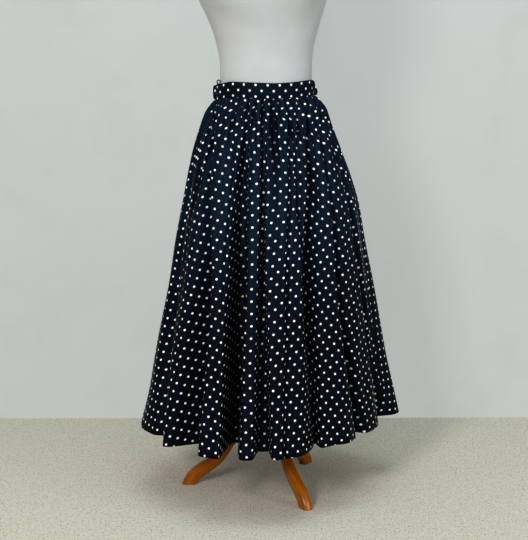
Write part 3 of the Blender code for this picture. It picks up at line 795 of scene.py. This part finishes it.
beltLoops = {
    "width": 0.0090,
    "wall": 0.0012,
    # azimuth, the height up the band and distance from it of each place, twist to the front, CAD node
    "beltLoopLeft": (-86.0, ((0.06, 0.0000), (0.12, 0.0018), (0.27, 0.0024), (0.50, 0.0026),
                             (0.75, 0.0025), (0.92, 0.0017), (0.97, 0.0000)), -38, "belt_loop_left"),
    "beltLoopRight": (82.0, ((0.03, 0.0000), (0.07, 0.0034), (0.15, 0.0049), (0.28, 0.0052),
                             (0.42, 0.0040), (0.58, 0.0020), (0.76, 0.0008), (0.93, 0.0000)), 62,
                      "belt_loop_right"),
}


def beltLoop(name):
    azimuth, bulges, twist, node = beltLoops[name]
    foot, tip = bandPoint(azimuth, 0, 0), bandPoint(azimuth, 1, 0)
    outward = np.array([tip[0] - foot[0], tip[1] - foot[1], 0])
    sideways = np.array([-outward[1], outward[0], 0])
    base = bandPoint(azimuth, band["wall"] + band["gap"] * 1.5, 0)
    shares = np.linspace(bulges[0][0], bulges[-1][0], 33)
    stand = smoothCurve([b[0] for b in bulges], [b[1] for b in bulges], shares)
    height = band["topZ"] - band["bottomZ"]
    path = base + outward * stand[:, None] + np.array([0, 0, height]) * shares[:, None]
    tangent = np.gradient(path, axis=0)
    tangent /= np.linalg.norm(tangent, axis=1, keepdims=True)
    normal = np.cross(sideways, tangent)
    normal *= np.sign(normal @ outward)[:, None]
    # the strip turns its face to the front between its sewn ends
    turn = np.radians(twist * stand / stand.max())[:, None]
    across = sideways * np.cos(turn) + outward * np.sin(turn)
    normal = normal * np.cos(turn) - sideways * np.sin(turn)
    w, d = beltLoops["width"] / 2, beltLoops["wall"]
    section = [(-w, 0.15 * d), (-w * 0.94, 0), (0, 0), (w * 0.94, 0), (w, 0.15 * d), (w, 0.85 * d),
               (w * 0.94, d), (w * 0.62, d * 0.94), (0, d), (-w * 0.62, d * 0.94), (-w * 0.94, d),
               (-w, 0.85 * d), (-w, 0.15 * d)]
    points = np.array([[p + s * a + n * b for a, b in section] for p, s, n in zip(path, across, normal)])
    reach = np.concatenate([[0], np.cumsum(np.linalg.norm(np.diff(path, axis=0), axis=1))])
    cut = np.array([[(a, r) for a, _ in section] for r in reach])
    piece = gridSkin(name, points, cut, weld=True, caps=True)
    finishPiece(piece, bandMaterial, "navy_dotted_cotton", node)
    return piece


waistband()
beltLoop("beltLoopLeft")
beltLoop("beltLoopRight")

hanger = {
    "azimuth": -70.5,
    "halfSpan": 0.0042,
    "height": 0.0108,
    "tube": 0.0012,
    "halfThick": 1.25,             # its section's two half widths, in tubes
    "halfWide": 1.5,
    "belly": 0.35,
    "steps": 40,
    "sides": 16,
}


def hangerLoop():
    tube, up = hanger["tube"], np.array([0, 0, 1.0])
    base = bandPoint(hanger["azimuth"], band["wall"] / 2, 1.0) + np.array([0, 0, band["gap"]])
    along = bandPoint(hanger["azimuth"] + 2, 0, 1) - bandPoint(hanger["azimuth"] - 2, 0, 1)
    along /= np.linalg.norm(along)
    points = []
    for i in range(hanger["steps"] + 1):
        t = math.pi * i / hanger["steps"]
        s, c = math.sin(t), math.cos(t)
        # its feet lie along the band and its top opens to the front
        side = along * (1 - s ** 0.6) + np.array([1, 0, 0]) * s ** 0.6
        side /= np.linalg.norm(side)
        out = np.cross(side, up)
        centre = (base + side * hanger["halfSpan"] * c * (1 + hanger["belly"] * s)
                  + up * (hanger["height"] * s ** 0.8 + tube * (1 - s)))
        thick, wide = (side * c + up * s) * hanger["halfThick"] * tube, out * hanger["halfWide"] * tube
        turns = [2 * math.pi * k / hanger["sides"] for k in range(hanger["sides"] + 1)]
        points.append([centre + thick * math.cos(a) + wide * math.sin(a) for a in turns])
    piece = gridSkin("hangerLoop", np.array(points), weld=True, caps=True)
    return finishPiece(piece, ribbon, "black_ribbon", "hanger_loop")


hangerLoop()

button = {
    "radius": 0.0080,
    "thickness": 0.0032,
    "steps": 56,
    "threadRadius": 0.0004,
    "threadLength": 0.0042,
    "threadSlant": 45,
}
buttonProfile = [
    # shares of the radius and of the thickness
    (0.86, 0.00), (0.95, 0.10), (1.00, 0.35), (1.00, 0.70), (0.95, 0.92), (0.86, 1.00),
    (0.76, 0.93), (0.66, 0.70), (0.30, 0.64),
]


def backButton():
    centre = bandPoint(180, 2 * band["wall"] + 2 * band["gap"], 0.5)
    r, d = button["radius"], button["thickness"]
    profile = [(0.0001, 0.0)] + [(r * a, d * b) for a, b in buttonProfile] + [(0.0001, d * 0.64)]
    disc = turned("backButton", profile, (0, 0), button["steps"])
    bm = bmesh.new()
    bm.from_mesh(disc.data)
    bmesh.ops.rotate(bm, verts=bm.verts[:], cent=(0, 0, 0), matrix=Matrix.Rotation(-math.pi / 2, 3, "X"))
    bmesh.ops.translate(bm, verts=bm.verts[:], vec=centre)
    bm.to_mesh(disc.data)
    bm.free()
    finishPiece(disc, buttonPlastic, "navy_button", "back_button")
    # cross of sewing thread in the four holes
    bm = bmesh.new()
    for side in (-1, 1):
        strand = bmesh.ops.create_cone(bm, cap_ends=True, segments=10, radius1=button["threadRadius"],
                                       radius2=button["threadRadius"], depth=button["threadLength"])
        slant = Matrix.Rotation(math.radians(button["threadSlant"] * side), 3, "Y")
        bmesh.ops.rotate(bm, verts=strand["verts"], cent=(0, 0, 0), matrix=slant)
    bmesh.ops.translate(bm, verts=bm.verts[:], vec=centre + np.array([0, d * 0.66, 0]))
    return finishPiece(meshFrom(bm, "buttonThread"), ribbon, "black_ribbon")


backButton()
print("waistband, loops and button made")


# dress form

def formBody():
    t = np.linspace(0, 1, form["rows"] + 1)
    rim = [form["bottomZ"] + step for step in form["rimSteps"]]
    heights = np.sort(np.concatenate([form["bottomZ"] + form["height"] * t, rim]))
    points = []
    for z in heights:
        x, y = formSection(z, form["columns"])
        x[-1], y[-1] = x[0], y[0]
        points.append(np.stack([x + axisX, y, np.full_like(x, z)], -1))
    piece = gridSkin("formBody", np.array(points), weld=True, caps=True)
    bm = bmesh.new()
    bm.from_mesh(piece.data)
    low, high = form["softBetween"]
    inside = [v for v in bm.verts if low < v.co.z < high]
    for _ in range(form["smoothing"]):
        bmesh.ops.smooth_vert(bm, verts=inside, factor=0.5,
                              use_axis_x=True, use_axis_y=True, use_axis_z=True)
    bm.to_mesh(piece.data)
    bm.free()
    return finishPiece(piece, jersey, "white_jersey", "form_body")


formBody()

cap = {"base": 1.5453, "shift": -0.009, "depth": -0.002, "steps": 72}
capProfile = [
    # radius, rise
    (0.0001, 0.0000), (0.0520, 0.0000), (0.0545, 0.0010), (0.0560, 0.0035), (0.0560, 0.0095),
    (0.0545, 0.0130), (0.0515, 0.0160), (0.0450, 0.0190), (0.0360, 0.0213), (0.0200, 0.0234),
    (0.0001, 0.0240),
]
neckCap = turned("neckCap", [(radius, cap["base"] + rise) for radius, rise in capProfile],
                 (axisX + cap["shift"], cap["depth"]), cap["steps"])
finishPiece(neckCap, turnedWood, "honey_varnished_wood", "neck_cap")
print("form made")


# stand

stand = {
    "poleRadius": 0.0125,
    "poleFoot": 0.2143,
    "poleSteps": 48,
    "flangeRadius": 0.0300,
    "formBottom": 0.6997,
    "hubApothem": 0.034,
    "hubBottom": 0.118,
    "hubTop": 0.214,
    # inset and rise of each step of the knob
    "hubKnob": ((0.006, 0.0), (0.001, 0.006), (0.003, 0.004), (0.005, 0.008)),
    "hubEdge": 0.004,
    "hubSoftEdge": 0.0015,
    "legWidth": 0.025,
    "legSteps": 60,
    "legSides": 32,
    "legGrain": (0.012, 0.018),     # half sizes of the grain's map round a leg
    "legs": {
        # CAD node: piece, azimuth from +X
        "leg_left": ("legLeft", 178.36),
        "leg_front": ("legFront", 298.36),
        "leg_back": ("legBack", 58.36),
    },
}


def pole():
    radius, foot, top = stand["poleRadius"], stand["poleFoot"], stand["formBottom"]
    flange = stand["flangeRadius"]
    profile = [(0.0001, foot), (radius * 0.92, foot), (radius, foot + 0.001),
               (radius, top - 0.0145), (radius * 1.15, top - 0.0128), (flange - 0.0010, top - 0.0120),
               (flange, top - 0.0110), (flange, top - 0.0006), (flange - 0.0008, top), (0.0001, top)]
    piece = turned("standPole", profile, (axisX, 0), stand["poleSteps"])
    return finishPiece(piece, steel, "brushed_steel", "pole")


def hubBlock():
    corner = stand["hubApothem"] / math.cos(math.pi / 6)
    low, high = stand["hubBottom"], stand["hubTop"] - sum(rise for _, rise in stand["hubKnob"])
    bm = bmesh.new()
    bmesh.ops.create_cone(bm, cap_ends=True, segments=6, radius1=corner, radius2=corner, depth=high - low)
    bmesh.ops.rotate(bm, verts=bm.verts[:], cent=(0, 0, 0),
                     matrix=Matrix.Rotation(math.radians(stand["legs"]["leg_left"][1]), 3, "Z"))
    bmesh.ops.translate(bm, verts=bm.verts[:], vec=(axisX, 0, (low + high) / 2))
    flats = [f for f in bm.faces if len(f.verts) == 6]
    rims = {e for f in flats for e in f.edges}
    bmesh.ops.bevel(bm, geom=list(rims), offset=stand["hubEdge"], offset_type="OFFSET", affect="EDGES",
                    segments=3, profile=0.5, material=-1)
    lid = max(bm.faces, key=lambda f: (round(f.calc_center_median().z, 5), f.calc_area()))
    # a turned knob between the block and the pole
    for inset, rise in stand["hubKnob"]:
        bmesh.ops.inset_individual(bm, faces=[lid], thickness=inset, depth=0.0)
        bmesh.ops.translate(bm, verts=lid.verts[:], vec=(0, 0, rise))
    bmesh.ops.recalc_face_normals(bm, faces=bm.faces[:])
    piece = meshFrom(bm, "standHub")
    modifier(piece, "BEVEL", "softEdges", width=stand["hubSoftEdge"], segments=2, limit_method="ANGLE")
    for polygon in piece.data.polygons:
        polygon.use_smooth = False
    return finishPiece(piece, turnedWood, "honey_varnished_wood", "hub")


pole()
hubBlock()

legRows = [
    # upperR upperZ lowerR  lowerZ
    (0.2220, 0.0000, 0.1835, 0.0000),
    (0.2170, 0.0130, 0.1780, 0.0105),
    (0.2080, 0.0280, 0.1660, 0.0215),
    (0.1950, 0.0425, 0.1470, 0.0345),
    (0.1760, 0.0565, 0.1240, 0.0530),
    (0.1540, 0.0700, 0.1080, 0.0700),
    (0.1330, 0.0860, 0.0970, 0.0870),
    (0.1160, 0.1060, 0.0870, 0.1040),
    (0.0980, 0.1330, 0.0740, 0.1190),
    (0.0760, 0.1600, 0.0580, 0.1290),
    (0.0343, 0.1780, 0.0343, 0.1340),
]


def curvedLeg(name, node, azimuth):
    a = math.radians(azimuth)
    outward, sideways = np.array([math.cos(a), math.sin(a), 0]), np.array([-math.sin(a), math.cos(a), 0])
    stations = np.linspace(0, len(legRows) - 1, stand["legSteps"] + 1)
    values = [column([(i, *row) for i, row in enumerate(legRows)], k, stations) for k in range(1, 5)]
    points, cut, reach, last = [], [], 0.0, None
    sides = stand["legSides"]
    turns = 2 * math.pi * (np.arange(sides + 1) % sides + 0.5) / sides
    for ur, uz, lr, lz in zip(*values):
        upper, lower = outward * ur + np.array([0, 0, uz]), outward * lr + np.array([0, 0, lz])
        centre, half = (upper + lower) / 2, (upper - lower) / 2
        if last is not None:
            reach += float(np.linalg.norm(centre - last))
        last = centre
        ring, marks = [], []
        for t in turns:
            c, s = (math.copysign(abs(value) ** 0.5, value) for value in (math.cos(t), math.sin(t)))
            ring.append(centre + half * c + sideways * s * stand["legWidth"] / 2 + np.array([axisX, 0, 0]))
            marks.append((s * stand["legGrain"][0] + c * stand["legGrain"][1], reach))
        points.append(ring)
        cut.append(marks)
    piece = gridSkin(name, np.array(points), np.array(cut), uvName="grain", weld=True, caps=True)
    return finishPiece(piece, legWood, "honey_varnished_wood", node)


for legNode, (legName, legAzimuth) in stand["legs"].items():
    curvedLeg(legName, legNode, legAzimuth)
print("stand made")


# room, camera and lights

room = {
    "size": 12,
    "wallY": 0.58,
    "floor": rgba(0.530, 0.489, 0.417),
    "floorScale": 70,
    "floorGlow": 0.06,
    "flecks": rgba(0.16, 0.12, 0.07),
    "wall": rgba(0.160, 0.165, 0.1605),
    "wallScale": 4,
    "wallGlow": 1.85,
    "sky": rgba(0.86, 0.90, 0.94),
    "skyStrength": 0.20,
}


def makeRoomMaterial(name, tone, scale, glow, flecks=None, seenThrough=False):
    bench = Bench(name, {"Roughness": 0.9, "Specular IOR Level": 0.15, "Emission Color": tone,
                         "Emission Strength": glow})
    spot = bench.place("object")
    speck = bench.noise(spot, scale, 3.0, 0.7)
    deep = tuple(0.90 * c for c in tone[:3])
    plain = bench.blend(bench.between(speck, 0.30, 0.55), rgba(*deep), tone)
    if flecks is not None:
        crumbs = bench.noise(spot, (scale * 3.8, scale * 2.5, 1), 2.0)
        plain = bench.blend(bench.between(crumbs, 0.56, 0.66) * 0.75, plain, flecks)
    bench.feed(Base_Color=plain)
    if seenThrough:
        # from behind, the wall lets the object be seen
        behind = bench.node("ShaderNodeNewGeometry", output=6)      # its Backfacing output
        clear = bench.node("ShaderNodeBsdfTransparent")
        front = Wire(bench, bench.shader.outputs[0])
        mixed = bench.node("ShaderNodeMixShader", None, {0: behind, 1: front, 2: clear})
        bench.plug(bench.tree.nodes["Material Output"].inputs["Surface"], mixed)
    return bench.material


def stagePlane(name, spot, turn, material):
    bm = bmesh.new()
    bmesh.ops.create_grid(bm, x_segments=1, y_segments=1, size=room["size"] / 2)
    bmesh.ops.rotate(bm, verts=bm.verts[:], cent=(0, 0, 0), matrix=turn)
    bmesh.ops.translate(bm, verts=bm.verts[:], vec=spot)
    plane = meshFrom(bm, name)
    plane.data.materials.append(material)
    return plane


paleFloor = makeRoomMaterial("paleFloor", room["floor"], room["floorScale"], room["floorGlow"],
                             flecks=room["flecks"])
paleWall = makeRoomMaterial("paleWall", room["wall"], room["wallScale"], room["wallGlow"], seenThrough=True)
stagePlane("floor", (0, 0, 0), Matrix.Identity(3), paleFloor)
stagePlane("backWall", (0, room["wallY"], 0), Matrix.Rotation(math.pi / 2, 3, "X"), paleWall)

view = {
    "place": (axisX, -3.628, 1.3028),
    "pitch": 11.397,
    "yaw": 0.097,
    "roll": -0.135,
    "focalPixels": 1455.39,
    "frameHeight": 540,
    "sensor": 36,
}
cameraData = bpy.data.cameras.new("photoCamera")
cameraData.sensor_fit = "VERTICAL"
cameraData.sensor_height = view["sensor"]
cameraData.lens = view["focalPixels"] / view["frameHeight"] * view["sensor"]
camera = bpy.data.objects.new("photoCamera", cameraData)
camera.matrix_world = (Matrix.Translation(view["place"])
                       @ Matrix.Rotation(math.radians(view["yaw"]), 4, "Z")
                       @ Matrix.Rotation(math.radians(90 - view["pitch"]), 4, "X")
                       @ Matrix.Rotation(math.radians(view["roll"]), 4, "Z"))
bpy.context.scene.collection.objects.link(camera)
bpy.context.scene.camera = camera

lights = {
    # place, aim, width and height, watts, colour
    "key": ((-1.5, -3.6, 2.25), (0, 0, 0.5), (0.9, 0.9), 88, (1.0, 0.995, 0.98)),
    "front": ((0.4, -3.9, 2.4), (0, 0, 0.6), (1.6, 1.0), 18, (1.0, 0.995, 0.98)),
    "right": ((2.8, -2.1, 1.3), (0, 0, 0.4), (1.6, 1.6), 31, (0.90, 0.97, 1.0)),
    "top": ((0.0, -0.6, 3.4), (0, 0.2, 0.0), (2.0, 1.4), 34, (0.72, 0.93, 1.0)),
}
for lightName, (spot, aim, size, watts, tint) in lights.items():
    data = bpy.data.lights.new(lightName, "AREA")
    data.shape, data.size, data.size_y = "RECTANGLE", *size
    data.energy, data.color = watts, tint
    lamp = bpy.data.objects.new(lightName, data)
    lamp.location = spot
    lamp.rotation_euler = (Vector(aim) - Vector(spot)).to_track_quat("-Z", "Y").to_euler()
    bpy.context.scene.collection.objects.link(lamp)

world = bpy.data.worlds.new("paleRoom")
world.use_nodes = True
sky = world.node_tree.nodes["Background"]
sky.inputs["Color"].default_value = room["sky"]
sky.inputs["Strength"].default_value = room["skyStrength"]
bpy.context.scene.world = world
bpy.context.scene.view_settings.view_transform = "Standard"
bpy.context.scene.view_settings.look = "High Contrast"
print("room lit")
